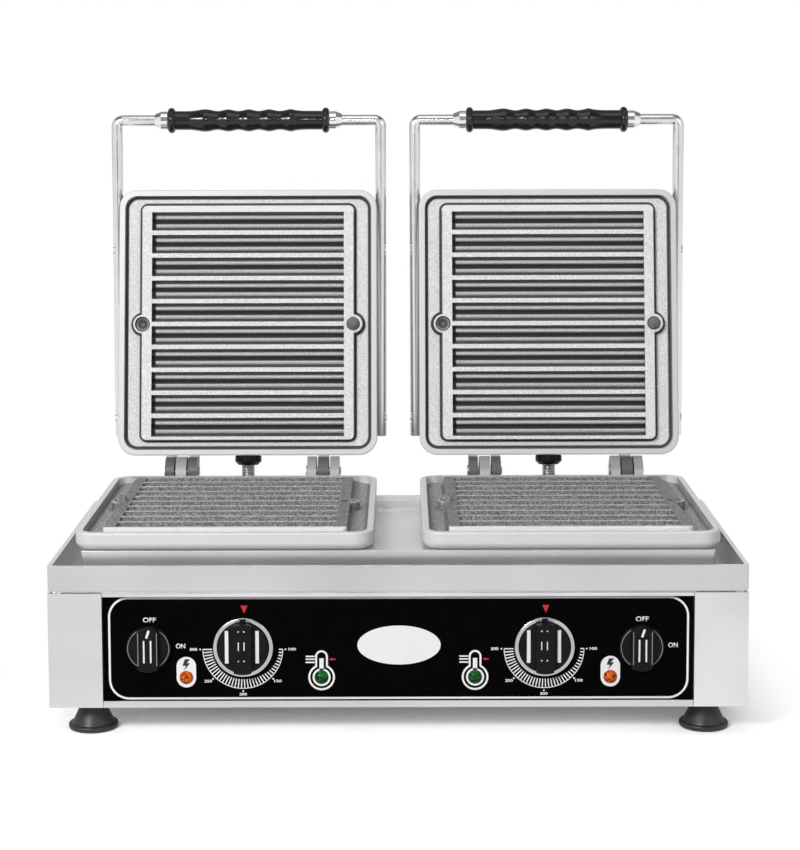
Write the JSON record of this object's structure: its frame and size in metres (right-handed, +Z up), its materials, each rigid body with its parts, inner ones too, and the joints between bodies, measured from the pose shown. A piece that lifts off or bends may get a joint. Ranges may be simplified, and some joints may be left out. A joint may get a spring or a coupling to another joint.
{
  "type": "waffle iron",
  "caption": "Electric countertop waffle iron with fluted cast baking plates, hinged lids with U-shaped handles, a drip pan and a control panel with knobs.",
  "frame": {"origin": "on the floor, in the middle of the rectangle of the feet", "axes": "+X to the right seen from the front, +Y to the back, +Z up"},
  "size_m": [0.57, 0.3899, 0.5095],
  "materials": {
    "stainless": "brushed stainless sheet",
    "pan_steel": "brushed stainless sheet, folded",
    "cover_steel": "brushed stainless sheet",
    "panel_black": "black printed sheet",
    "cast_plate": "grey non-stick coated casting",
    "bar_steel": "polished round bar",
    "ferrule_chrome": "bright ferrule",
    "bezel_chrome": "bright ring",
    "grip_black": "glossy black moulding",
    "knob_black": "black moulding",
    "foot_rubber": "black rubber",
    "lamp_orange": "orange lens",
    "lamp_green": "green lens",
    "screw_steel": "zinc plated screw",
    "pin_steel": "turned steel",
    "element_steel": "sheathed heating rod",
    "control_body": "moulded switch block",
    "gland_plastic": "black moulding",
    "wool": "mineral wool slab"
  },
  "bodies": {
    "base": {"base_hinge_pins": "pin_steel", "base_plate": "stainless", "bezel_left": "bezel_chrome", "bezel_right": "bezel_chrome", "case_screws": "screw_steel", "channel_cover": "pan_steel", "deck": "pan_steel", "drip_pan": "pan_steel", "foot_front_left": "foot_rubber", "foot_front_right": "foot_rubber", "foot_rear_left": "foot_rubber", "foot_rear_right": "foot_rubber", "foot_screws": "screw_steel", "front_panel": "panel_black", "gland": "gland_plastic", "gland_nut": "gland_plastic", "heat_lamp_left": "lamp_green", "heat_lamp_right": "lamp_green", "lower_element_left": "element_steel", "lower_element_right": "element_steel", "lower_plate_left": "cast_plate", "lower_plate_right": "cast_plate", "mains_lamp_left": "lamp_orange", "mains_lamp_right": "lamp_orange", "plate_bolts": "screw_steel", "rear_panel": "stainless", "side_panel_left": "stainless", "side_panel_right": "stainless", "stop_studs": "pin_steel", "switch_left": "control_body", "switch_right": "control_body", "thermostat_left": "control_body", "thermostat_right": "control_body", "top_rail": "stainless"},
    "lid_left": {"upper_plate_left": "cast_plate", "lid_cover_left": "cover_steel", "cover_screws_left": "screw_steel", "upper_element_left": "element_steel", "insulation_left": "wool", "handle_bar_left": "bar_steel", "handle_screws_left": "screw_steel", "ferrules_left": "ferrule_chrome", "lid_hinge_pin_left": "pin_steel"},
    "grip_left": {"grip_left": "grip_black"},
    "switch_knob_left": {"switch_knob_left": "knob_black"},
    "thermostat_knob_left": {"thermostat_knob_left": "knob_black"},
    "stop_knob_left": {"stop_knob_left": "knob_black"},
    "lid_right": {"upper_plate_right": "cast_plate", "lid_cover_right": "cover_steel", "cover_screws_right": "screw_steel", "upper_element_right": "element_steel", "insulation_right": "wool", "handle_bar_right": "bar_steel", "handle_screws_right": "screw_steel", "ferrules_right": "ferrule_chrome", "lid_hinge_pin_right": "pin_steel"},
    "grip_right": {"grip_right": "grip_black"},
    "switch_knob_right": {"switch_knob_right": "knob_black"},
    "thermostat_knob_right": {"thermostat_knob_right": "knob_black"},
    "stop_knob_right": {"stop_knob_right": "knob_black"}
  },
  "joints": [
    {"name": "lid_hinge_left", "type": "hinge", "parent": "base", "child": "lid_left", "pos_m": [-0.1431, 0.1516, 0.1669], "axis": [1, 0, 0], "range_deg": [0, 99.3]},
    {"name": "grip_spin_left", "type": "hinge", "parent": "lid_left", "child": "grip_left", "pos_m": [-0.1431, 0.2135, 0.49724], "axis": [1, 0, 0], "continuous": true},
    {"name": "switch_turn_left", "type": "hinge", "parent": "base", "child": "switch_knob_left", "pos_m": [-0.2035, -0.135, 0.0741], "axis": [0, 1, 0], "range_deg": [0, 90]},
    {"name": "thermostat_turn_left", "type": "hinge", "parent": "base", "child": "thermostat_knob_left", "pos_m": [-0.1265, -0.135, 0.0743], "axis": [0, 1, 0], "range_deg": [0, 270]},
    {"name": "stop_screw_left", "type": "hinge", "parent": "base", "child": "stop_knob_left", "pos_m": [-0.1431, 0.16506, 0.17483], "axis": [0, 0.1616, 0.9869], "range_deg": [-180, 180]},
    {"name": "lid_hinge_right", "type": "hinge", "parent": "base", "child": "lid_right", "pos_m": [0.1431, 0.1516, 0.1669], "axis": [1, 0, 0], "range_deg": [0, 99.3]},
    {"name": "grip_spin_right", "type": "hinge", "parent": "lid_right", "child": "grip_right", "pos_m": [0.1431, 0.2135, 0.49724], "axis": [1, 0, 0], "continuous": true},
    {"name": "switch_turn_right", "type": "hinge", "parent": "base", "child": "switch_knob_right", "pos_m": [0.1983, -0.135, 0.0741], "axis": [0, 1, 0], "range_deg": [0, 90]},
    {"name": "thermostat_turn_right", "type": "hinge", "parent": "base", "child": "thermostat_knob_right", "pos_m": [0.1194, -0.135, 0.0743], "axis": [0, 1, 0], "range_deg": [0, 270]},
    {"name": "stop_screw_right", "type": "hinge", "parent": "base", "child": "stop_knob_right", "pos_m": [0.1431, 0.16506, 0.17483], "axis": [0, 0.1616, 0.9869], "range_deg": [-180, 180]}
  ]
}
